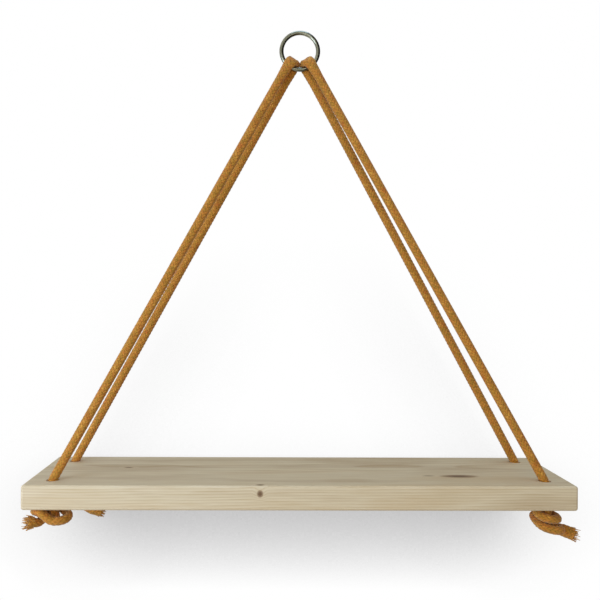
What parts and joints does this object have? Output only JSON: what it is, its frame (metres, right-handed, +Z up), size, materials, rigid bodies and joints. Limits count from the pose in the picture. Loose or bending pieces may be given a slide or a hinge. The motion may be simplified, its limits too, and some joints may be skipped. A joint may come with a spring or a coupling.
{
  "type": "hanging rope shelf",
  "caption": "Pine board hung from a steel ring by two ropes, each laid over the ring and stopped by knots under the board.",
  "frame": {"origin": "where the hook sits, at the top of the ring's eye, midway across its wire", "axes": "+X to the right along the board, +Y towards the wall, +Z up"},
  "size_m": [0.6098, 0.145, 0.5835],
  "materials": {
    "steel": "polished wire, a little dulled",
    "pine": "planed and sanded, oiled matt",
    "rope": "braided plant fibre, golden brown"
  },
  "bodies": {
    "ring": {"ring": "steel"},
    "rope_turns": {"left_rope_turn": "rope", "right_rope_turn": "rope"},
    "shelf": {"board": "pine", "left_front_strand": "rope", "left_rear_strand": "rope", "right_front_strand": "rope", "right_rear_strand": "rope", "left_front_knot": "rope", "left_rear_knot": "rope", "right_front_knot": "rope", "right_rear_knot": "rope"}
  },
  "joints": [
    {"name": "ring_turn", "type": "hinge", "parent": "ring", "child": "rope_turns", "pos_m": [0, 0, -0.019], "axis": [0, 1, 0], "range_deg": [-45, 45]},
    {"name": "shelf_swing", "type": "hinge", "parent": "rope_turns", "child": "shelf", "pos_m": [0, 0, -0.0376], "axis": [1, 0, 0], "range_deg": [-60, 60]}
  ]
}
